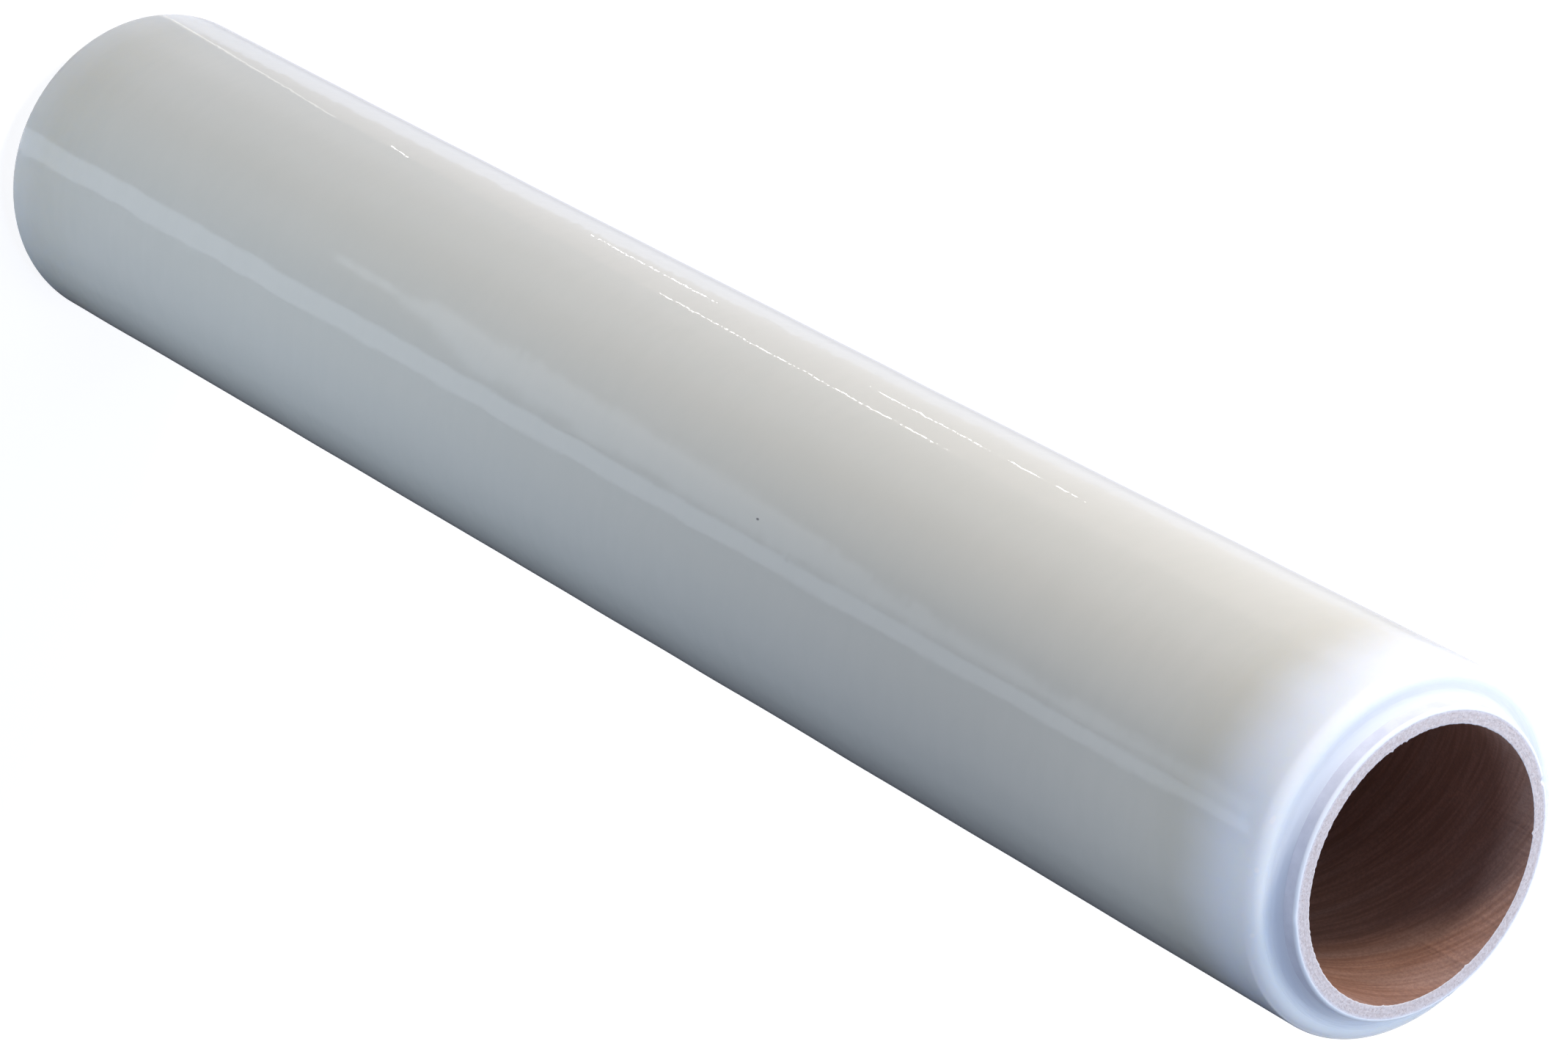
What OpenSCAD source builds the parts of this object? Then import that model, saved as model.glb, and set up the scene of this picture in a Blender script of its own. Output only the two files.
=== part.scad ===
// Roll of plastic sheeting: one long sheet wound tightly on a cardboard core.
// The roll stands on its end. The origin is the centre of the core's lower
// end face and +Z runs up the roll's axis. Lengths are in millimetres and
// angles in degrees, counted from +X towards +Y.

/* [Cardboard core] */
// Diameter of the bore, the common 3 inch size
bore_d = 76.2; // [50:0.1:152.4]
// Thickness of the cardboard wall
core_wall = 4.8; // [3:0.1:12]
// How far the core stands out of the sheeting at each end
core_stub = 6.5; // [3:0.5:30]
// Radius of the rounded outer edge at each end of the core
rim_r = 1; // [0.3:0.1:1.4]

/* [Wound sheeting] */
// Width of the sheeting, which is the length of the wound part
sheet_w = 610; // [200:1:1500]
// Thickness of the sheeting itself
sheet_t = 0.2; // [0.1:0.05:0.5]
// Thickness of all the turns together, from the core to the outside
wound_build = 8.7; // [6:0.1:60]
// Radius of the soft shoulder at each end of the wound part
shoulder_r = 3.6; // [1:0.1:4.5]
// Angle at which the sheeting's loose end lies
tail_angle = 60; // [0:5:355]

/* [Winding rings on the end faces] */
// Distance from one groove between two groups of turns to the next
ring_pitch = 1.2; // [0.8:0.1:4]
// Width of the groove
ring_gap_w = 0.3; // [0.1:0.05:0.5]
// Depth of the groove
ring_gap_depth = 0.2; // [0.1:0.05:1]

/* [Nick in the core's upper rim] */
// Angle at which the nick lies
nick_angle = 143; // [0:1:359]
// Width of the nick
nick_w = 2.6; // [1:0.1:5]
// How far the nick reaches into the wall
nick_reach = 1.2; // [0.5:0.1:2.5]
// How far the nick reaches down from the end face
nick_drop = 1.4; // [0.5:0.1:2.8]

/* [Hidden] */
$fn = 180;

// Outer radius and length of the core
core_r = bore_d / 2 + core_wall;
core_l = sheet_w + 2 * core_stub;

// Outer radius of the wound sheeting just behind its loose end, and the flat
// width that the shoulder leaves on each of its end faces
wound_r = core_r + wound_build;
end_flat_w = wound_build - shoulder_r;
ring_count = floor(end_flat_w / ring_pitch);

// The last turn winds inwards by one thickness of sheeting. Two half turns
// draw it: the second has its centre moved by half a thickness, so the two
// meet smoothly on one side and leave a step of one thickness at the loose end.
turn_shift = sheet_t / 2;

// How far cutting shapes stand out past the faces that they cut
past = 1;

core_colour = [0.76, 0.71, 0.72];
sheeting_colour = [0.77, 0.79, 0.79];

// Section of the core's wall, beside the axis: a long upright band whose two
// outer corners are rounded.
module core_section() {
    translate([bore_d / 2, 0]) {
        square([core_wall - rim_r, core_l]);
        translate([0, rim_r]) square([core_wall, core_l - 2 * rim_r]);
    }
    for (z = [rim_r, core_l - rim_r])
        translate([core_r - rim_r, z]) circle(r = rim_r);
}

// A notch in the rim, round at its inner side, open at the top and outside.
module nick() {
    rotate(nick_angle)
        translate([core_r + nick_w / 2 - nick_reach, 0, core_l - nick_drop])
            cylinder(d = nick_w, h = nick_drop + past);
}

module core_tube() {
    color(core_colour)
        difference() {
            rotate_extrude() core_section();
            nick();
        }
}

// Section of the wound part as if it were solid to its centre: an upright
// band out to radius r whose two outer corners are rounded.
module wound_section(r) {
    square([r - shoulder_r, sheet_w]);
    translate([0, shoulder_r]) square([r, sheet_w - 2 * shoulder_r]);
    for (z = [shoulder_r, sheet_w - shoulder_r])
        translate([r - shoulder_r, z]) circle(r = shoulder_r);
}

// Outside of the last turn as two half turns that step in at the loose end.
module last_turn() {
    rotate_extrude(angle = 180) wound_section(wound_r);
    translate([-turn_shift, 0, 0])
        rotate(180)
            rotate_extrude(angle = 180) wound_section(wound_r - turn_shift);
}

// Shallow grooves between groups of turns, one set for each end face.
module ring_grooves() {
    for (i = [1 : 1 : ring_count], z = [0, sheet_w])
        rotate_extrude()
            translate([core_r + i * ring_pitch - ring_gap_w, z - ring_gap_depth])
                square([ring_gap_w, 2 * ring_gap_depth]);
}

module wound_sheeting() {
    color(sheeting_colour)
        translate([0, 0, core_stub])
            difference() {
                rotate(tail_angle) last_turn();
                translate([0, 0, -past]) cylinder(r = core_r, h = sheet_w + 2 * past);
                ring_grooves();
            }
}

core_tube();
wound_sheeting();
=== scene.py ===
# %% [markdown]
# # A roll of plastic sheeting on a cardboard core
#
# The real thing is one long, clear to milky sheet wound tightly on a spiral
# tube of cardboard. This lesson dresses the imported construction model, which
# has one solid for the tube and one for all the turns together. We draw both
# again as finely shaped skins, give each its finish, and set up the camera and
# a small studio. Everything is in metres. The roll stands on its end, with the
# axis along +Z and the middle of the core's lower end at the origin.

# %% Load the construction model
import math

import bpy
import numpy as np
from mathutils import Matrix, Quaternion, Vector


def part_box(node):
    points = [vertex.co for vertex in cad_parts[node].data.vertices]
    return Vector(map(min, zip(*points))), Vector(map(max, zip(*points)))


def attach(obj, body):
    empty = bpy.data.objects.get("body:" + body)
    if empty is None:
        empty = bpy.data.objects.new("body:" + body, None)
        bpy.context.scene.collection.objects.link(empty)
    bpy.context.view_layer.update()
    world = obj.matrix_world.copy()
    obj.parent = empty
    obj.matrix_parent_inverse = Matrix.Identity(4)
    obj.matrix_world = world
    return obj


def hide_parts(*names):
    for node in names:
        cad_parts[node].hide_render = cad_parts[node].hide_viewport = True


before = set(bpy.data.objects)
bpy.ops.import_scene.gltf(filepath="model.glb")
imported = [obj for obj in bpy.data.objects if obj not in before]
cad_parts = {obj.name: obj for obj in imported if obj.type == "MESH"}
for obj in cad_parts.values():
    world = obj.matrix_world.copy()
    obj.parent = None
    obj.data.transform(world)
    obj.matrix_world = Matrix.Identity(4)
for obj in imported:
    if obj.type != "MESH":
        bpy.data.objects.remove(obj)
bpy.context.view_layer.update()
tube_low, tube_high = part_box("core_tube")
wound_low, wound_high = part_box("wound_sheeting")
print("core", tuple(tube_low), tuple(tube_high))
print("sheeting", tuple(wound_low), tuple(wound_high))

# %% [markdown]
# ## The sizes that the skins share
#
# The lengths and heights come from the boxes of the two solids, so the skins
# can't drift away from them. The rest repeats the construction's own named
# sizes: the bore, the rounded rim, the soft shoulders of the wound sheeting,
# its thickness, and the angle of its loose end, which lies on the far side.

# %% Sizes in metres, angles in radians
MM = 0.001
core_top = tube_high.z
core_radius = tube_high.x
bore_radius = 38.1 * MM
rim_radius = 1.0 * MM
roll_low, roll_high = wound_low.z, wound_high.z
roll_width = roll_high - roll_low
roll_radius = 51.6 * MM
shoulder = 3.6 * MM
sheet_thickness = 0.2 * MM
loose_end = math.radians(60)
waist = 0.7 * MM
print("sheeting from", roll_low, "to", roll_high, "on a core of radius", core_radius)

# %% [markdown]
# ## The camera
#
# The photographer stood near the open end and looked down along the roll with
# a long lens, holding the camera so that the roll runs aslant. We aim the
# camera first with its top edge upwards, then turn it about its own line of
# sight until the axis falls 29 degrees below the horizontal of the picture.

# %% Camera
picture_width, picture_height = 2138, 1438
camera_place = Vector((0.0078, -1.1471, 1.5765))
sight = Vector((-0.002714, 0.685346, -0.728213))
camera_roll = math.radians(118.9)

camera_data = bpy.data.cameras.new("camera")
camera_data.sensor_width = 36.0
camera_data.lens = 135.14
camera_data.clip_start, camera_data.clip_end = 0.05, 50.0
camera = bpy.data.objects.new("camera", camera_data)
camera.location = camera_place
camera.rotation_mode = "QUATERNION"
camera.rotation_quaternion = sight.to_track_quat("-Z", "Y") @ Quaternion((0, 0, 1), camera_roll)
bpy.context.scene.collection.objects.link(camera)
bpy.context.scene.camera = camera
bpy.context.view_layer.update()


def seen_at(point):
    """Where a point falls in the picture, in pixels from the upper left: the
    point in the camera's own axes, divided by its distance along the sight."""
    local = camera.matrix_world.inverted() @ Vector(point)
    scale = picture_width * camera_data.lens / camera_data.sensor_width / -local.z
    return picture_width / 2 + scale * local.x, picture_height / 2 - scale * local.y


print("upper end's centre at", seen_at((0, 0, roll_high)), "lower end's", seen_at((0, 0, roll_low)))

# %% [markdown]
# ## Helpers for skins on a grid
#
# Both pieces are rings: an outline in the plane of radius and height, carried
# once round the axis. On a grid of points, row i is one place on the outline
# and column j one angle. Joining the last row to the first and the last column
# to the first closes the skin with no seam and no pole. To look real the skins
# need slight unevenness too, so a second helper adds up waves whose directions
# and phases are drawn from a seeded generator, the same in every run.

# %% Grid helper
def ring_skin(name, points, wrap):
    """A closed skin through points[row, column]. Its faces run round the axis
    first and along the outline second, so their normals point outwards.
    wrap[row, column] is kept as an attribute that the finishes read: the
    distance round the roll, the distance along it, and the depth."""
    rows, columns = points.shape[:2]
    row, column = np.meshgrid(np.arange(rows), np.arange(columns), indexing="ij")
    next_row, next_column = (row + 1) % rows, (column + 1) % columns
    faces = np.stack(
        [row * columns + column, row * columns + next_column,
         next_row * columns + next_column, next_row * columns + column], -1).reshape(-1, 4)
    mesh = bpy.data.meshes.new(name)
    mesh.from_pydata(points.reshape(-1, 3), [], faces)
    mesh.polygons.foreach_set("use_smooth", np.ones(len(faces), bool))
    kept = mesh.attributes.new("wrap", "FLOAT_VECTOR", "POINT")
    kept.data.foreach_set("vector", wrap.reshape(-1).astype(np.float32))
    mesh.validate()
    mesh.update()
    skin = bpy.data.objects.new(name, mesh)
    bpy.context.scene.collection.objects.link(skin)
    print(name, "rows", rows, "columns", columns, "triangles", 2 * len(faces))
    return skin


def waves(across, along, seed, number, shortest, longest):
    """The sum of cosines whose wavelengths lie between shortest and longest,
    in random directions and phases, scaled to a spread of about one."""
    random = np.random.default_rng(seed)
    total = np.zeros(np.broadcast(across, along).shape)
    for _ in range(number):
        length = shortest * (longest / shortest) ** random.random()
        turn, phase = random.random(2) * 2 * math.pi
        total += np.cos(2 * math.pi * (across * math.cos(turn) + along * math.sin(turn)) / length + phase)
    return total / math.sqrt(number / 2)


# %% [markdown]
# ## The outline of the wound sheeting
#
# Cut through the roll along its axis, and the sheeting shows as a long band
# beside the core. Its ends are flat, because the edges of the turns lie side
# by side, and round over in a soft shoulder. The innermost turns creep a little
# way up the core. The side is slightly waisted, 0.7 mm at mid-length, as the
# photograph's edges show.

# %% Outline rows
end_steps, shoulder_steps, side_steps, inner_steps = 40, 10, 150, 4

flat = np.linspace(core_radius, roll_radius - shoulder, end_steps, endpoint=False)
curve = np.linspace(-np.pi / 2, 0, shoulder_steps, endpoint=False)
side = np.linspace(roll_low + shoulder, roll_high - shoulder, side_steps)
inner = np.linspace(roll_high, roll_low, inner_steps, endpoint=False)

row_radius = np.concatenate([
    flat,
    roll_radius - shoulder + shoulder * np.cos(curve),
    np.full(side_steps, roll_radius),
    (roll_radius - shoulder + shoulder * np.cos(curve))[::-1],
    flat[::-1],
    np.full(inner_steps, core_radius),
])
row_height = np.concatenate([
    np.full(end_steps, roll_low),
    roll_low + shoulder + shoulder * np.sin(curve),
    side,
    (roll_high - shoulder - shoulder * np.sin(curve))[::-1],
    np.full(end_steps, roll_high),
    inner,
])
print("outline rows", len(row_radius), "from radius", row_radius.min(), "to", row_radius.max())

# %% [markdown]
# ## The wound sheeting's skin
#
# One sheet winds outwards, so the outside isn't quite a circle. It holds its
# full radius for half a turn behind the loose end and then closes in by one
# thickness of sheeting, which leaves a small step under the loose edge. The
# edges of the turns show on both ends as fine rings, which drift by the same
# thickness in each turn. The side has long, very shallow waves, because a
# sheet wound under tension follows every uneven spot beneath it.

# %% Wound sheeting
turn_columns = 384
step_share = 0.0004
ring_pitch, ring_start, ring_width, first_ring = 1.2, 0.15, 0.16, 0.8
creep_height, creep_width = 2.2 * MM, 3.2 * MM
skin_inset = 0.06 * MM

# The last column stops just short of the first, which leaves the step steep
part_turn = np.linspace(0, 1, turn_columns)[None, :]
part_turn = part_turn * (1 - step_share)
turn_angle = part_turn * 2 * np.pi
radius, height = row_radius[:, None], row_height[:, None]

# The loose edge wanders a little along the roll, and the whole grid with it
edge_wander = 0.012 * np.sin(2 * np.pi * height / 0.37 + 0.6) + 0.005 * np.sin(2 * np.pi * height / 0.093)
angle = loose_end + edge_wander + turn_angle

# 0 at the core and 1 at the outside, so the core stays round and tight
reach = np.clip((radius - core_radius) / (roll_radius - core_radius), 0, 1)
along = np.clip((height - roll_low) / roll_width, 0, 1)

second_half = turn_angle > np.pi
closing_in = np.where(second_half, sheet_thickness / 2 * (1 + np.cos(turn_angle)), 0)
arc = angle * roll_radius
sag = waist * 4 * along * (1 - along)
uneven = 0.035 * MM * waves(arc * 0.35, height, 3, 14, 35 * MM, 160 * MM)
bands = 0.012 * MM * waves(0 * arc, height, 5, 10, 14 * MM, 60 * MM)
skin_radius = radius - reach * (closing_in + sag + skin_inset) + reach * (uneven + bands)
skin_radius = np.minimum(skin_radius, radius)

# Rings on the ends, in millimetres from the core. Only outline rows at the
# height of an end are moved
on_end = (np.abs(height - roll_low) < 1e-9) | (np.abs(height - roll_high) < 1e-9)
inwards = np.where(height > (roll_low + roll_high) / 2, -1.0, 1.0)
from_core = radius - core_radius
turn_place = 2 * np.pi * (from_core - sheet_thickness * part_turn)
rings = 0.5 + 0.25 * np.sin(turn_place / (0.41 * MM)) + 0.25 * np.sin(turn_place / (0.67 * MM) + 1.3)
groove = np.exp(-((((from_core / MM + ring_start) % ring_pitch) / ring_width) ** 2))
groove = np.where(from_core > first_ring * MM, groove, 0)
lumps = 1 + np.clip(waves(arc, radius * 6, 9, 9, 6 * MM, 60 * MM), -1, 1)
relief = 0.02 * MM * rings + 0.04 * MM * groove + 0.03 * MM * lumps
relief = relief * np.clip(from_core / (0.4 * MM), 0, 1)
creep = creep_height * np.clip(1 - from_core / creep_width, 0, 1) ** 2.5
skin_height = height + np.where(on_end, inwards * (relief - creep), 0)

sheeting_points = np.stack([
    skin_radius * np.cos(angle), skin_radius * np.sin(angle), skin_height + 0 * angle], -1)
sheeting_wrap = np.stack([
    turn_angle * roll_radius + 0 * height, height + 0 * angle, from_core + 0 * angle], -1)
wound_roll = ring_skin("wound_roll", sheeting_points, sheeting_wrap)

# %% [markdown]
# ## The cardboard tube's skin
#
# The tube is wound from strips of brown board, with a smooth, pale outer
# layer. Its ends were cut with a knife: they feel rough, the bore's edge has
# small burrs of paper, and the outer edge is rounded. The upper rim has a nick
# and, on the other side, a place where the edge was pressed outwards.

# %% Core outline rows
face_steps, rim_steps, wall_steps, bore_steps = 16, 6, 12, 44
core_low = tube_low.z

cut_radius = np.linspace(bore_radius, core_radius - rim_radius, face_steps)
rim_turn = np.linspace(-np.pi / 2, 0, rim_steps + 1)[1:]
rim_out = core_radius - rim_radius + rim_radius * np.cos(rim_turn)
rim_up = rim_radius * (1 + np.sin(rim_turn))
wall_height = np.concatenate([
    np.linspace(core_low + rim_radius, roll_low, 5)[1:],
    np.linspace(roll_low, roll_high, wall_steps)[1:-1],
    np.linspace(roll_high, core_top - rim_radius, 5)[:-1],
])
bore_height = core_top + (core_low - core_top) * np.linspace(0, 1, bore_steps + 1)[1:-1]

board_radius = np.concatenate([
    cut_radius, rim_out, np.full(len(wall_height), core_radius), rim_out[::-1], cut_radius[::-1],
    np.full(len(bore_height), bore_radius)])
board_height = np.concatenate([
    np.full(face_steps, core_low), core_low + rim_up, wall_height, (core_top - rim_up)[::-1],
    np.full(face_steps, core_top), bore_height])
first_bore_row = 2 * face_steps + 2 * rim_steps + len(wall_height) - 1
print("core rows", len(board_radius), "bore from row", first_bore_row)

# %% Core skin
core_columns = 720
core_angle = np.linspace(0, 2 * np.pi, core_columns, endpoint=False)[None, :]
radius, height = board_radius[:, None], board_height[:, None]
upper = height > (core_low + core_top) / 2
edge_height = np.where(upper, core_top, core_low)
from_edge = np.abs(height - edge_height)
inwards = np.where(upper, -1.0, 1.0)


def beside(degrees, width):
    """A bump of height 1 at an angle, falling off to nothing within a few
    times the width: the bell curve of the angle's distance from its middle."""
    away = (core_angle - math.radians(degrees) + np.pi) % (2 * np.pi) - np.pi
    return np.exp(-((away / math.radians(width)) ** 2))


core_arc = core_angle * core_radius
grain = waves(core_arc, radius * 1.4 + height, 21, 40, 0.7 * MM, 3.0 * MM)
near_bore = np.exp(-((radius - bore_radius) / (0.45 * MM)) ** 2) * np.exp(-((from_edge / (0.5 * MM)) ** 2))
near_rim = np.exp(-((radius - core_radius) / (0.8 * MM)) ** 2) * np.exp(-((from_edge / (1.2 * MM)) ** 2))
ragged = 0.5 + 0.5 * np.clip(waves(core_arc, 0 * height, 31, 30, 0.9 * MM, 6 * MM), -1, 1)

burrs = (0.9 * beside(236.5, 0.55) + 0.8 * beside(229, 0.7) + 0.6 * beside(231.5, 0.4)
         + 1.0 * beside(123.5, 0.6) + 0.9 * beside(63.3, 0.8) + 0.5 * beside(61.6, 0.4)
         + 0.5 * beside(20, 0.5) + 0.4 * beside(334, 0.6)) * upper
pressed = beside(309.75, 3.2) * upper

core_skin_radius = radius + near_bore * (0.10 * MM * ragged - 0.55 * MM * burrs)
core_skin_radius = core_skin_radius + near_rim * 0.35 * MM * pressed
rough = 0.035 * MM * (1 + np.clip(grain, -1, 1)) + 0.06 * MM * near_bore * ragged
on_cut = from_edge < 1e-9
core_skin_height = height + np.where(on_cut, inwards * rough, 0)

# The nick is a round notch from the rim: everything inside its circle that
# stands above its floor is pressed down to the floor
nick_angle, nick_radius, nick_drop, nick_reach = math.radians(143), 1.3 * MM, 1.4 * MM, 1.2 * MM
nick_centre = core_radius + nick_radius - nick_reach
nick_away = np.sqrt(
    (core_skin_radius * np.cos(core_angle) - nick_centre * math.cos(nick_angle)) ** 2
    + (core_skin_radius * np.sin(core_angle) - nick_centre * math.sin(nick_angle)) ** 2)
nick_share = np.clip((nick_radius * 1.12 - nick_away) / (0.35 * nick_radius), 0, 1) ** 0.7
nick_floor = core_top - nick_drop * nick_share
nick_floor = nick_floor - 0.05 * MM * (nick_floor < core_top)
core_skin_height = np.where(upper, np.minimum(core_skin_height, nick_floor), core_skin_height)

core_points = np.stack([
    core_skin_radius * np.cos(core_angle), core_skin_radius * np.sin(core_angle),
    core_skin_height + 0 * core_angle], -1)
core_wrap = np.stack([core_arc + 0 * height, height + 0 * core_arc, radius - bore_radius + 0 * core_arc], -1)
spiral_tube = ring_skin("spiral_tube", core_points, core_wrap)

# %% [markdown]
# ## Finishes as node trees
#
# Each finish is a Principled surface whose colour, roughness and bump come
# from a few nodes. These helpers keep the building of a tree short: one adds a
# node and sets its values, one joins two colours by a mask, and one reads the
# attribute that every skin carries.

# %% Node helpers
def finish_tree(name):
    """A new material with its tree, its Principled surface and its output."""
    material = bpy.data.materials.new(name)
    material.use_nodes = True
    tree = material.node_tree
    tree.nodes.clear()
    surface = tree.nodes.new("ShaderNodeBsdfPrincipled")
    output = tree.nodes.new("ShaderNodeOutputMaterial")
    tree.links.new(surface.outputs["BSDF"], output.inputs["Surface"])
    return material, tree, surface


def plug(tree, value, socket):
    """Links a socket's output to an input, or sets a plain value on it."""
    if isinstance(value, bpy.types.NodeSocket):
        tree.links.new(value, socket)
    else:
        socket.default_value = value


def arithmetic(tree, operation, first, second=0.0, third=0.0):
    """The result of a Math node: add, multiply, power and so on."""
    node = tree.nodes.new("ShaderNodeMath")
    node.operation = operation
    for socket, value in zip(node.inputs, (first, second, third)):
        plug(tree, value, socket)
    return node.outputs[0]


def ease(tree, value, start, end):
    """0 below start, 1 above end, and a smooth rise between the two."""
    node = tree.nodes.new("ShaderNodeMapRange")
    node.interpolation_type = "SMOOTHSTEP"
    for socket, given in zip((node.inputs[0], node.inputs[1], node.inputs[2]), (value, start, end)):
        plug(tree, given, socket)
    return node.outputs[0]


def blend(tree, mask, first, second):
    """The first colour where the mask is 0 and the second where it is 1."""
    node = tree.nodes.new("ShaderNodeMix")
    node.data_type = "RGBA"
    plug(tree, mask, node.inputs[0])
    plug(tree, first, node.inputs[6])
    plug(tree, second, node.inputs[7])
    return node.outputs[2]


def stretched(tree, place, stretch):
    """A place divided by stretch, so that a pattern on it is about stretch
    metres long in each direction."""
    node = tree.nodes.new("ShaderNodeVectorMath")
    node.operation = "DIVIDE"
    tree.links.new(place, node.inputs[0])
    node.inputs[1].default_value = stretch
    return node.outputs[0]


def wrapped(tree, stretch=(1.0, 1.0, 1.0)):
    """The wrap attribute, for a pattern that follows the sheet."""
    node = tree.nodes.new("ShaderNodeAttribute")
    node.attribute_name = "wrap"
    return stretched(tree, node.outputs["Vector"], stretch)


def placed(tree, stretch=(1.0, 1.0, 1.0)):
    """The place on the object itself, for a pattern with no seam."""
    return stretched(tree, tree.nodes.new("ShaderNodeTexCoord").outputs["Object"], stretch)


def split(tree, place):
    """The three numbers of a place."""
    node = tree.nodes.new("ShaderNodeSeparateXYZ")
    tree.links.new(place, node.inputs[0])
    return node.outputs


def noise(tree, place, detail=2.0, roughness=0.5):
    """Cloudy noise between 0 and 1 with one cloud per unit of place."""
    node = tree.nodes.new("ShaderNodeTexNoise")
    tree.links.new(place, node.inputs["Vector"])
    node.inputs["Scale"].default_value = 1.0
    node.inputs["Detail"].default_value = detail
    node.inputs["Roughness"].default_value = roughness
    return node.outputs[0]


def spot(tree, degrees, radius, height, sizes):
    """1 within a small ellipsoid on the roll and 0 outside it."""
    turn = math.radians(degrees)
    offset = tree.nodes.new("ShaderNodeVectorMath")
    offset.operation = "SUBTRACT"
    tree.links.new(tree.nodes.new("ShaderNodeTexCoord").outputs["Object"], offset.inputs[0])
    offset.inputs[1].default_value = (radius * math.cos(turn), radius * math.sin(turn), height)
    away = tree.nodes.new("ShaderNodeVectorMath")
    away.operation = "LENGTH"
    tree.links.new(stretched(tree, offset.outputs[0], sizes), away.inputs[0])
    return ease(tree, away.outputs["Value"], 1.1, 0.5)


def bump(tree, height, distance, under=None):
    """Turns a height between 0 and 1 into a relief that is distance deep."""
    node = tree.nodes.new("ShaderNodeBump")
    node.inputs["Strength"].default_value = 1.0
    node.inputs["Distance"].default_value = distance
    plug(tree, height, node.inputs["Height"])
    if under is not None:
        tree.links.new(under, node.inputs["Normal"])
    return node.outputs[0]


print("helpers ready")

# %% [markdown]
# ## Finish of the sheeting
#
# Hundreds of clear turns on top of each other look like a milky, faintly warm
# solid with a hard gloss. Light that falls on the cut ends travels a centimetre
# or two between the turns and comes out of the side again, which is why the open
# end glows. Subsurface scattering does part of that near both ends. A cool, pale
# colour near the ends is partly the pale cut edges of the turns and partly a
# painted glow, with only a fifth of it at the foot, where little light gets in.
# On the flat ends that colour is painted darker towards the core, as painted
# shade where the core stands above them. The outermost sheet clings to the one
# beneath it in fine ripples that run round the roll. They leave the colour alone,
# but break up the edges of every reflection. A speck of dirt is a small spot of
# another colour, and three dents on the shoulder are painted white as painted
# highlights.

# %% Sheeting finish
sheeting_finish, tree, surface = finish_tree("wound_sheeting_finish")
height_up, depth_out = split(tree, wrapped(tree))[1:]

# How near a point is to the ends of the roll
from_low = arithmetic(tree, "SUBTRACT", height_up, roll_low)
from_high = arithmetic(tree, "SUBTRACT", roll_high, height_up)
from_end = arithmetic(tree, "MINIMUM", from_low, from_high)
fray = noise(tree, placed(tree, (14 * MM, 14 * MM, 40 * MM)), 2.0)
fray = arithmetic(tree, "MULTIPLY_ADD", fray, 5 * MM, -2.5 * MM)
# Partly the pale cut edges of the turns and partly painted glow: a cool, pale colour up to 34 mm from the
# upper end, and a fifth as much within 20 mm of the foot, which gets little light
top_painted_glow = ease(tree, arithmetic(tree, "ADD", from_high, fray), 34 * MM, 0)
foot_painted_glow = ease(tree, arithmetic(tree, "ADD", from_low, fray), 20 * MM, 0)
pale_and_painted_glow = arithmetic(tree, "MAXIMUM", top_painted_glow, arithmetic(tree, "MULTIPLY", foot_painted_glow, 0.2))

clouds = noise(tree, placed(tree, (70 * MM, 70 * MM, 160 * MM)), 3.0)
body = blend(tree, ease(tree, clouds, 0.3, 0.7), (0.648, 0.628, 0.540, 1), (0.662, 0.640, 0.554, 1))
fine = noise(tree, placed(tree, (14 * MM, 14 * MM, 5 * MM)), 3.0)
fine = arithmetic(tree, "MULTIPLY", ease(tree, fine, 0.35, 0.65), 0.5)
body = blend(tree, fine, body, (0.638, 0.622, 0.536, 1))
# Painted shade: on the flat ends the pale colour turns darker and greyer within 7 mm of the core, which
# stands above them
core_shade_mask = ease(tree, depth_out, 7 * MM, 3 * MM)
pale_glow_and_shade_colour = blend(tree, core_shade_mask, (0.920, 0.955, 1.0, 1), (0.770, 0.800, 0.860, 1))
skin_colour = blend(tree, pale_and_painted_glow, body, pale_glow_and_shade_colour)

# A speck of dirt under the last turn, and three dents on the shoulder painted white as painted highlights
speck = spot(tree, 275.5, roll_radius, 400.6 * MM, (0.45 * MM, 2 * MM, 0.85 * MM))
skin_colour = blend(tree, speck, skin_colour, (0.16, 0.15, 0.15, 1))
painted_dent_glints = 0.0
dent_in = 1.0 * MM
for degrees, length in ((279.5, 1.5 * MM), (294.75, 0.9 * MM), (315.5, 1.0 * MM)):
    dent_sizes = (length, 0.9 * MM, 0.8 * MM)
    painted_dent_glint = spot(tree, degrees, roll_radius - dent_in, roll_high - dent_in, dent_sizes)
    painted_dent_glints = arithmetic(tree, "MAXIMUM", painted_dent_glints, painted_dent_glint)
# Painted highlights: the three dents are painted white where they catch the light
skin_colour = blend(tree, painted_dent_glints, skin_colour, (1.0, 1.0, 1.0, 1))
plug(tree, skin_colour, surface.inputs["Base Color"])

surface.inputs["Roughness"].default_value = 0.035
surface.inputs["IOR"].default_value = 1.50
surface.inputs["Subsurface Scale"].default_value = 5.0 * MM
surface.inputs["Subsurface Radius"].default_value = (1.0, 1.1, 1.3)
glowing = ease(tree, from_end, 55 * MM, 20 * MM)
glowing = arithmetic(tree, "MULTIPLY", glowing, ease(tree, depth_out, 1 * MM, 4 * MM))
plug(tree, glowing, surface.inputs["Subsurface Weight"])

tension = ease(tree, noise(tree, placed(tree, (60 * MM, 60 * MM, 110 * MM)), 1.0), 0.35, 0.65)
tension = arithmetic(tree, "MULTIPLY_ADD", tension, 0.6, 0.4)
ripple_long = noise(tree, wrapped(tree, (30 * MM, 5 * MM, 30 * MM)), 2.0)
ripple_long = arithmetic(tree, "MULTIPLY", ripple_long, tension)
ripple_round = noise(tree, wrapped(tree, (7 * MM, 4 * MM, 7 * MM)), 1.0)
relief = bump(tree, ripple_long, 0.035 * MM)
relief = bump(tree, ripple_round, 0.04 * MM, relief)
tree.links.new(relief, surface.inputs["Normal"])

wound_roll.data.materials.append(sheeting_finish)
print("sheeting finish has", len(tree.nodes), "nodes")
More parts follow.
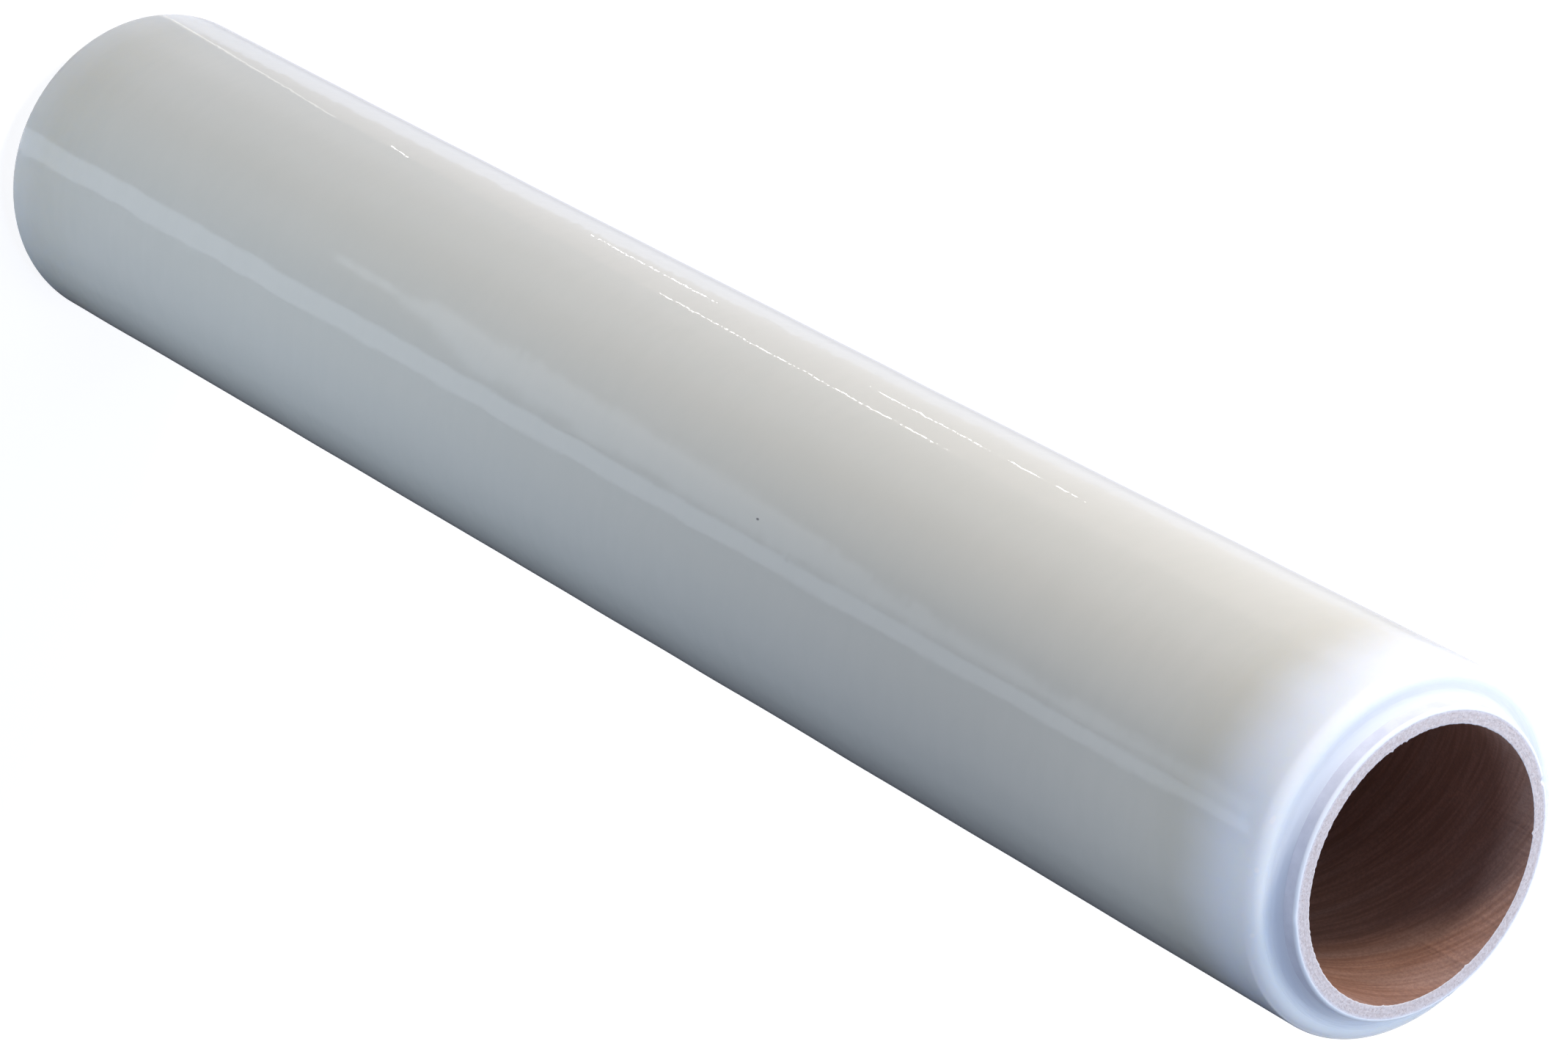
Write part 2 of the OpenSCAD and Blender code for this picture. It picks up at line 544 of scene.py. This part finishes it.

# %% [markdown]
# ## Finishes of the tube
#
# Three layers show. The cut ends are matted paper fibre, pinkish grey and
# speckled. The outer layer is a smooth, pale liner, painted nearly white on the
# rounded rim as a painted highlight. The bore is brown kraft paper, wound on a
# slant, so its streaks climb like a screw thread. To draw them without a seam,
# the bore's pattern is twisted: each height is turned back by the angle that a
# streak has climbed to there. A dark spot beside the nick is a crumb of torn
# paper.

# %% Cut board
cut_board, tree, surface = finish_tree("cut_board_finish")
east, north = split(tree, placed(tree))[:2]
depth = split(tree, wrapped(tree))[2]
ply_place = tree.nodes.new("ShaderNodeCombineXYZ")
for number, (value, size) in enumerate(((east, 7 * MM), (north, 7 * MM), (depth, 0.45 * MM))):
    plug(tree, arithmetic(tree, "DIVIDE", value, size), ply_place.inputs[number])
plies = noise(tree, ply_place.outputs[0], 2.0, 0.6)
fibres = noise(tree, placed(tree, (0.8 * MM, 0.8 * MM, 0.8 * MM)), 3.0, 0.65)
flecks = noise(tree, placed(tree, (0.45 * MM, 0.45 * MM, 0.45 * MM)), 1.0)
colour = blend(tree, ease(tree, plies, 0.3, 0.7), (0.640, 0.550, 0.530, 1), (0.715, 0.635, 0.620, 1))
colour = blend(tree, ease(tree, fibres, 0.42, 0.62), colour, (0.765, 0.695, 0.685, 1))
flecks = arithmetic(tree, "MULTIPLY", ease(tree, flecks, 0.60, 0.72), 0.7)
colour = blend(tree, flecks, colour, (0.47, 0.38, 0.36, 1))
edge_lip = ease(tree, depth, 0.5 * MM, 0.1 * MM)
colour = blend(tree, arithmetic(tree, "MULTIPLY", edge_lip, 0.5), colour, (0.87, 0.84, 0.84, 1))
fluff = spot(tree, 144, core_radius - 0.9 * MM, core_top, (0.8 * MM, 0.8 * MM, 1.2 * MM))
colour = blend(tree, fluff, colour, (0.24, 0.23, 0.33, 1))
outer_layer = ease(tree, depth, 2.9 * MM, 3.8 * MM)
colour = blend(tree, arithmetic(tree, "MULTIPLY", outer_layer, 0.4), colour, (0.86, 0.88, 0.97, 1))
plug(tree, colour, surface.inputs["Base Color"])
surface.inputs["Roughness"].default_value = 0.92
relief = bump(tree, plies, 0.08 * MM)
relief = bump(tree, fibres, 0.08 * MM, relief)
tree.links.new(relief, surface.inputs["Normal"])
print("cut board has", len(tree.nodes), "nodes")

# %% Outer liner
outer_liner, tree, surface = finish_tree("outer_liner_finish")
height_up = split(tree, placed(tree))[2]
from_rim = arithmetic(tree, "MINIMUM", arithmetic(tree, "SUBTRACT", core_top, height_up), height_up)
mottle = noise(tree, placed(tree, (5 * MM, 5 * MM, 5 * MM)), 4.0, 0.6)
colour = blend(tree, ease(tree, mottle, 0.3, 0.7), (0.75, 0.76, 0.83, 1), (0.83, 0.84, 0.91, 1))
# Painted highlight: within a millimetre of each rim the liner is painted nearly white
colour = blend(tree, ease(tree, from_rim, 1.0 * MM, 0.5 * MM), colour, (0.93, 0.94, 0.96, 1))
plug(tree, colour, surface.inputs["Base Color"])
surface.inputs["Roughness"].default_value = 0.5
relief = bump(tree, noise(tree, placed(tree, (0.6 * MM, 0.6 * MM, 0.6 * MM)), 2.0), 0.02 * MM)
tree.links.new(relief, surface.inputs["Normal"])
print("outer liner has", len(tree.nodes), "nodes")

# %% Bore paper
bore_paper, tree, surface = finish_tree("bore_paper_finish")
climb = math.tan(math.radians(30)) * bore_radius
height_up = split(tree, placed(tree))[2]
twist = tree.nodes.new("ShaderNodeVectorRotate")
twist.rotation_type = "Z_AXIS"
tree.links.new(tree.nodes.new("ShaderNodeTexCoord").outputs["Object"], twist.inputs["Vector"])
plug(tree, arithmetic(tree, "DIVIDE", height_up, -climb), twist.inputs["Angle"])
streaks = noise(tree, stretched(tree, twist.outputs[0], (2.2 * MM, 2.2 * MM, 9 * MM)), 2.0, 0.5)
patches = noise(tree, stretched(tree, twist.outputs[0], (14 * MM, 14 * MM, 30 * MM)), 3.0, 0.6)
colour = blend(tree, ease(tree, streaks, 0.3, 0.7), (0.275, 0.142, 0.095, 1), (0.385, 0.212, 0.150, 1))
patches = arithmetic(tree, "MULTIPLY", ease(tree, patches, 0.45, 0.7), 0.4)
colour = blend(tree, patches, colour, (0.40, 0.27, 0.22, 1))
grain = noise(tree, placed(tree, (0.8 * MM, 0.8 * MM, 0.8 * MM)), 2.0, 0.7)
grain = arithmetic(tree, "MULTIPLY", ease(tree, grain, 0.60, 0.40), 0.35)
colour = blend(tree, grain, colour, (0.19, 0.10, 0.08, 1))
plug(tree, colour, surface.inputs["Base Color"])
surface.inputs["Roughness"].default_value = 0.65
relief = bump(tree, streaks, 0.03 * MM)
tree.links.new(relief, surface.inputs["Normal"])
print("bore paper has", len(tree.nodes), "nodes")

# %% Which face gets which layer
for layer in (cut_board, outer_liner, bore_paper):
    spiral_tube.data.materials.append(layer)
layer_of_row = np.zeros(len(board_radius), int)
layer_of_row[face_steps - 1 : 2 * rim_steps + len(wall_height) + face_steps] = 1
layer_of_row[first_bore_row:] = 2
spiral_tube.data.polygons.foreach_set("material_index", np.repeat(layer_of_row, core_columns))
print("faces per layer", np.bincount(layer_of_row) * core_columns)

# %% [markdown]
# ## The pieces take the places of the solids
#
# Each skin rides on the one body and stands for its solid, which is hidden.

# %% Frame calls
for skin, solid, finish_slot in (
        (wound_roll, "wound_sheeting", "sheeting"), (spiral_tube, "core_tube", "core_board")):
    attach(skin, "root")
    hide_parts(solid)

# %% [markdown]
# ## The floor
#
# The floor is plain and pale. Camera, mirror and see-through rays find it
# nearly white, so the roll stands out clean. To the light that bounces it is a
# mid grey, or it would fill every shadow on the roll.

# %% Floor
floor_data = bpy.data.meshes.new("floor")
reach_out = 12.0
floor_corners = [(reach_out * x, reach_out * y, 0) for x, y in ((-1, -1), (1, -1), (1, 1), (-1, 1))]
floor_data.from_pydata(floor_corners, [], [(0, 1, 2, 3)])
floor = bpy.data.objects.new("floor", floor_data)
bpy.context.scene.collection.objects.link(floor)

floor_finish = bpy.data.materials.new("pale_floor")
floor_finish.use_nodes = True
tree = floor_finish.node_tree
tree.nodes.clear()
rays = tree.nodes.new("ShaderNodeLightPath")
direct = arithmetic(tree, "MAXIMUM", rays.outputs["Is Camera Ray"], rays.outputs["Is Glossy Ray"])
direct = arithmetic(tree, "MAXIMUM", direct, rays.outputs["Is Transmission Ray"])
lit = tree.nodes.new("ShaderNodeBsdfDiffuse")
plug(tree, blend(tree, direct, (0.34, 0.34, 0.34, 1), (0.30, 0.30, 0.31, 1)), lit.inputs["Color"])
glow = tree.nodes.new("ShaderNodeEmission")
glow.inputs["Color"].default_value = (1, 1, 1, 1)
plug(tree, arithmetic(tree, "MULTIPLY", direct, 0.86), glow.inputs["Strength"])
both = tree.nodes.new("ShaderNodeAddShader")
tree.links.new(lit.outputs[0], both.inputs[0])
tree.links.new(glow.outputs[0], both.inputs[1])
output = tree.nodes.new("ShaderNodeOutputMaterial")
tree.links.new(both.outputs[0], output.inputs["Surface"])
floor_data.materials.append(floor_finish)
print("floor", 2 * reach_out, "m wide")

# %% [markdown]
# ## The light
#
# Nine soft lamps do what a bright room does. A wide one stands on the side that
# the photograph shows bright, and a smaller, warm one beside the open end. It
# shines in low, so that the core shades the far side of the flat end. Two cool
# lamps hang above, one of them over the bright side. Two fill from the front,
# and two small ones lift the foot and the shoulder on the dark side. The last
# stands behind the roll and lights the side that the photograph doesn't show.
# The front lamps stay below the open end, because the photograph's bore is
# dark. The room itself gives a little of everything. Lamps stay out of the
# camera's own sight and out of the gloss, which the cards below fill.

# %% Lamps and world
def soft_lamp(name, place, towards, size, power, colour):
    """A square lamp at a place, turned so that it shines towards a point."""
    lamp_data = bpy.data.lights.new(name, "AREA")
    lamp_data.shape = "SQUARE"
    lamp_data.size = size
    lamp_data.energy = power
    lamp_data.color = colour
    lamp = bpy.data.objects.new(name, lamp_data)
    lamp.location = place
    lamp.rotation_mode = "QUATERNION"
    lamp.rotation_quaternion = (Vector(towards) - Vector(place)).to_track_quat("-Z", "Y")
    lamp.visible_camera = False
    lamp.visible_glossy = False
    bpy.context.scene.collection.objects.link(lamp)
    return lamp


soft_lamp("side_lamp", (-1.88, -0.25, 0.35), (0, 0, 0.31), 0.8, 3.0, (0.66, 0.76, 1.0))
soft_lamp("end_lamp", (-0.98, -0.22, 1.02), (0, 0, 0.60), 0.25, 8.4, (0.95, 0.86, 0.76))
soft_lamp("front_lamp", (-0.95, -1.35, 0.24), (0, 0, 0.22), 0.6, 7.3, (0.78, 0.83, 0.96))
soft_lamp("near_lamp", (-0.20, -1.60, 0.30), (0, 0, 0.31), 0.6, 1.2, (1.0, 0.82, 0.60))
soft_lamp("foot_lamp", (0.33, -0.43, 0.08), (0, 0, 0.08), 0.3, 1.30, (0.64, 0.80, 1.0))
soft_lamp("sky_lamp", (-0.72, 0.0, 2.2), (0, 0, 0.62), 0.7, 11.8, (0.77, 0.87, 1.0))
soft_lamp("top_lamp", (0.10, -0.15, 2.3), (0, 0, 0.62), 0.5, 7.2, (0.60, 0.77, 1.0))
soft_lamp("shoulder_lamp", (0.085, -0.12, 0.60), (0, 0, 0.60), 0.05, 0.013, (0.84, 0.92, 1.0))
soft_lamp("back_lamp", (-0.32, 1.90, 1.40), (0, 0, 0.31), 1.2, 10.0, (0.95, 0.98, 1.0))

world = bpy.data.worlds.new("room")
bpy.context.scene.world = world
world.use_nodes = True
tree = world.node_tree
room = tree.nodes["Background"]
rays = tree.nodes.new("ShaderNodeLightPath")
direct = arithmetic(tree, "MAXIMUM", rays.outputs["Is Camera Ray"], rays.outputs["Is Glossy Ray"])
direct = arithmetic(tree, "MAXIMUM", direct, rays.outputs["Is Transmission Ray"])
plug(tree, blend(tree, direct, (0.48, 0.60, 1.0, 1), (1.0, 1.0, 1.0, 1)), room.inputs["Color"])
plug(tree, arithmetic(tree, "MULTIPLY_ADD", direct, 0.71, 0.26), room.inputs["Strength"])

# %% [markdown]
# ## What the glossy side mirrors
#
# From this camera the side of the roll mirrors only what lies low around it.
# A photographer finds the place for a reflector by looking where the mirror
# sends the eye, and we do the same with the mirror law. Each card is described
# by where it should show on the roll, as shares of the height and angles round
# the roll from the camera's side, and is laid on the floor at the place that
# those spots mirror. The cards are seen in gloss only, like lamps that are out
# of the picture.

# %% Mirror law
def mirrored_on_floor(share, station):
    """Where the floor shows in the roll's side, for whole grids at once. The
    sight line v meets the side at a height and angle with the outward normal
    n, leaves it along r = v - 2 (v.n) n, and is followed down to the floor."""
    turn = np.radians(station)
    normal = np.stack([np.sin(turn), -np.cos(turn), 0 * turn], -1)
    spot = normal * roll_radius
    spot[..., 2] = roll_low + share * roll_width
    towards = spot - np.array(camera_place)
    towards /= np.linalg.norm(towards, axis=-1, keepdims=True)
    leaving = towards - 2 * (towards * normal).sum(-1, keepdims=True) * normal
    return spot - leaving * (spot[..., 2:] / leaving[..., 2:])


rows_along, columns_across = 61, 25
outer_edge = 89.5  # the last angle that still shows, just inside the outline


def laid_card(name, points, spots, layer, finish):
    """A card through a grid of points, layer millimetres above the floor. It
    keeps for each point what spots says: a share of the height, an angle, and
    the distance from the nearer long edge in degrees."""
    points[..., 2] = layer * MM
    row, column = np.meshgrid(np.arange(rows_along - 1), np.arange(columns_across - 1), indexing="ij")
    corner = (row * columns_across + column).reshape(-1, 1)
    card_data = bpy.data.meshes.new(name)
    card_data.from_pydata(
        points.reshape(-1, 3), [], corner + np.array([[0, 1, columns_across + 1, columns_across]]))
    kept = card_data.attributes.new("spot", "FLOAT_VECTOR", "POINT")
    kept.data.foreach_set("vector", spots.reshape(-1).astype(np.float32))
    card_data.materials.append(finish)
    card = bpy.data.objects.new(name, card_data)
    card.visible_camera = card.visible_diffuse = card.visible_transmission = False
    card.visible_shadow = card.visible_volume_scatter = False
    bpy.context.scene.collection.objects.link(card)


def floor_card(name, rows, layer, finish):
    """A card that shows where rows say. Each row gives a share of the height
    and the first and last angle at which the card shows there, in degrees."""
    rows = np.array(rows)
    share = np.linspace(rows[0, 0], rows[-1, 0], rows_along)[:, None]
    first = np.interp(share, rows[:, 0], rows[:, 1])
    last = np.interp(share, rows[:, 0], rows[:, 2])
    across = np.linspace(0, 1, columns_across)[None, :]
    station = first + (last - first) * across
    inset = (last - first) * np.minimum(across, 1 - across)
    points = mirrored_on_floor(share + 0 * station, station)
    laid_card(name, points, np.stack([share + 0 * station, station, inset], -1), layer, finish)


def card_behind(name, first_share, last_share, layer, finish):
    """A card that closes the gap behind the roll, which the camera's mirror
    never reaches: straight lines join the places of the two outer edges."""
    share = np.linspace(first_share, last_share, rows_along)[:, None]
    across = np.linspace(0, 1, columns_across)[None, :]
    station = outer_edge * (1 - 2 * across) + 0 * share
    right = mirrored_on_floor(share, np.full(share.shape, outer_edge))
    left = mirrored_on_floor(share, np.full(share.shape, -outer_edge))
    points = right + (left - right) * across[..., None]
    laid_card(name, points, np.stack([share + 0 * station, station, 0 * station + 1], -1), layer, finish)


print("mid-height, facing the camera:", mirrored_on_floor(np.array([0.5]), np.array([0.0])))

# %% [markdown]
# ## Card finishes
#
# Ripples in the outer sheet pull every reflection's edge into soft teeth that
# point round the roll. A finish can therefore fray its card's long edges, or
# break a thin card into dashes. The widest cards need a colour that changes
# from angle to angle, which a ramp of a few stops gives. Beyond the share that
# the top of the roll mirrors, every card fades out, so that no hard border
# shows in the gloss when the roll is seen from behind.

# %% Card finishes
def colour_round(tree, station, stops):
    """A colour that runs through stops, each an angle and the colour there."""
    ramp = tree.nodes.new("ShaderNodeValToRGB")
    ramp.color_ramp.interpolation = "EASE"
    plug(tree, arithmetic(tree, "MULTIPLY_ADD", station, 1 / 180, 0.5), ramp.inputs[0])
    marks = ramp.color_ramp.elements
    while len(marks) < len(stops):
        marks.new(1.0)
    for mark, (degrees, colour) in zip(marks, stops):
        mark.position = degrees / 180 + 0.5
        mark.color = (*colour, 1)
    return ramp.outputs[0]


def card_finish(name, colour, strength, teeth=0.0, dashes=0.0):
    """A glow of one colour, or of stops of angle and colour. Its long edges are
    frayed up to teeth degrees deep, and it is broken along the roll into
    pieces about as long as the share dashes."""
    material = bpy.data.materials.new(name)
    material.use_nodes = True
    tree = material.node_tree
    tree.nodes.clear()
    place = tree.nodes.new("ShaderNodeAttribute")
    place.attribute_name = "spot"
    share, station, inset = split(tree, place.outputs["Vector"])
    glow = tree.nodes.new("ShaderNodeEmission")
    if isinstance(colour[0], tuple):
        plug(tree, colour_round(tree, station, colour), glow.inputs["Color"])
    else:
        glow.inputs["Color"].default_value = (*colour, 1)
    glow.inputs["Strength"].default_value = strength
    mask = ease(tree, share, 1.45, 1.04)
    if teeth:
        ragged = noise(tree, stretched(tree, place.outputs["Vector"], (0.008, 14.0, 1000.0)), 2.0, 0.6)
        depth = arithmetic(tree, "MULTIPLY", ease(tree, ragged, 0.30, 0.70), teeth)
        whole = ease(tree, arithmetic(tree, "SUBTRACT", inset, depth), 0.0, 0.4 * teeth)
        mask = arithmetic(tree, "MULTIPLY", mask, whole)
    if dashes:
        broken = noise(tree, stretched(tree, place.outputs["Vector"], (dashes, 4.0, 1000.0)), 1.0)
        mask = arithmetic(tree, "MULTIPLY", ease(tree, broken, 0.47, 0.53), mask)
    clear = tree.nodes.new("ShaderNodeBsdfTransparent")
    mixed = tree.nodes.new("ShaderNodeMixShader")
    plug(tree, mask, mixed.inputs[0])
    tree.links.new(clear.outputs[0], mixed.inputs[1])
    tree.links.new(glow.outputs[0], mixed.inputs[2])
    output = tree.nodes.new("ShaderNodeOutputMaterial")
    tree.links.new(mixed.outputs[0], output.inputs["Surface"])
    return material


print("card finishes ready")

# %% [markdown]
# ## The room and the cards
#
# The widest card stands for the room: bright beyond the edge at the upper left,
# fading to nothing beyond the other edge, which stays dark. A second one takes
# the same colours across behind the roll. On top lie the bright table, its
# edges, the two bands and a few thin, broken glints. Each row of a card is a
# share of the height and the angles between which the card shows there.

# %% Cards
room_glow = card_finish("room_glow", (
    (-88, (0.62, 0.66, 0.72)), (-60, (0.62, 0.66, 0.74)), (-46, (0.72, 0.75, 0.80)),
    (-32, (0.56, 0.58, 0.60)), (-16, (0.38, 0.34, 0.28)), (2, (0.48, 0.44, 0.36)),
    (22, (0.56, 0.56, 0.56)), (38, (0.44, 0.46, 0.50)), (52, (0.26, 0.28, 0.31)),
    (62, (0.11, 0.12, 0.13)), (70, (0.04, 0.04, 0.045)), (88, (0.02, 0.02, 0.025))), 1.6)
floor_card("room_card", [(-0.01, -outer_edge, outer_edge), (1.45, -outer_edge, outer_edge)], 0.5, room_glow)
card_behind("back_card", 0.10, 1.45, 0.5, room_glow)
table_glow = card_finish("table_glow", (1.0, 1.0, 1.04), 1.34)
floor_card("table_card", [(-0.01, -63.0, -60.0), (0.19, -63.0, -52.5), (1.01, -68.0, -40.0)], 1, table_glow)
edge_glow = card_finish("edge_glow", (
    (-88, (0.44, 0.45, 0.50)), (-78, (0.45, 0.46, 0.51)),
    (-70, (0.65, 0.67, 0.74)), (-64, (0.76, 0.78, 0.86))), 2.0, 2.0)
floor_card("edge_card", [
    (-0.01, -outer_edge, -59.5), (0.5, -outer_edge, -63.0), (1.01, -outer_edge, -66.5)], 1.5, edge_glow)
table_edge_glow = card_finish("table_edge_glow", (1.0, 1.0, 1.0), 2.2, 0.3)
floor_card("table_edge_card", [(0.0, -61.7, -60.5), (0.19, -53.1, -52.1)], 2.5, table_edge_glow)
long_band_glow = card_finish("long_band_glow", (0.95, 1.0, 1.06), 1.75, 1.6)
floor_card("long_band_card", [
    (-0.01, 8.4, 19.6), (0.25, 9.4, 19.4), (0.50, 10.4, 19.1), (0.75, 11.2, 18.7), (1.01, 11.8, 17.8)],
    2, long_band_glow)
short_band_glow = card_finish("short_band_glow", (0.98, 1.0, 1.0), 1.5, 4.5)
floor_card("short_band_card", [
    (0.285, -5.5, 0.0), (0.34, -7.0, 2.4), (0.375, -8.0, 5.6), (0.425, -7.6, 10.6), (0.50, -6.2, 12.2),
    (0.60, -4.2, 13.6), (0.68, -1.6, 14.2), (0.73, 2.4, 14.4), (1.01, 6.0, 15.0)], 1.5, short_band_glow)
glint_glow = card_finish("glint_glow", (1.0, 0.96, 0.94), 16.0, 0.0, 0.008)
glint_width = 0.32
for number, (low_share, low_angle, high_share, high_angle) in enumerate((
        (0.475, -49.2, 0.695, -45.9), (0.40, -61.2, 0.495, -59.7),
        (0.63, -56.3, 0.775, -54.2), (0.232, -53.5, 0.256, -51.8))):
    glint_rows = [
        (low_share, low_angle, low_angle + glint_width), (high_share, high_angle, high_angle + glint_width)]
    floor_card(f"glint_card_{number + 1}", glint_rows, 3, glint_glow)

# %% [markdown]
# ## Last settings
#
# Standard view transform keeps colours as they are written.

# %% Finish
bpy.context.scene.view_settings.view_transform = "Standard"
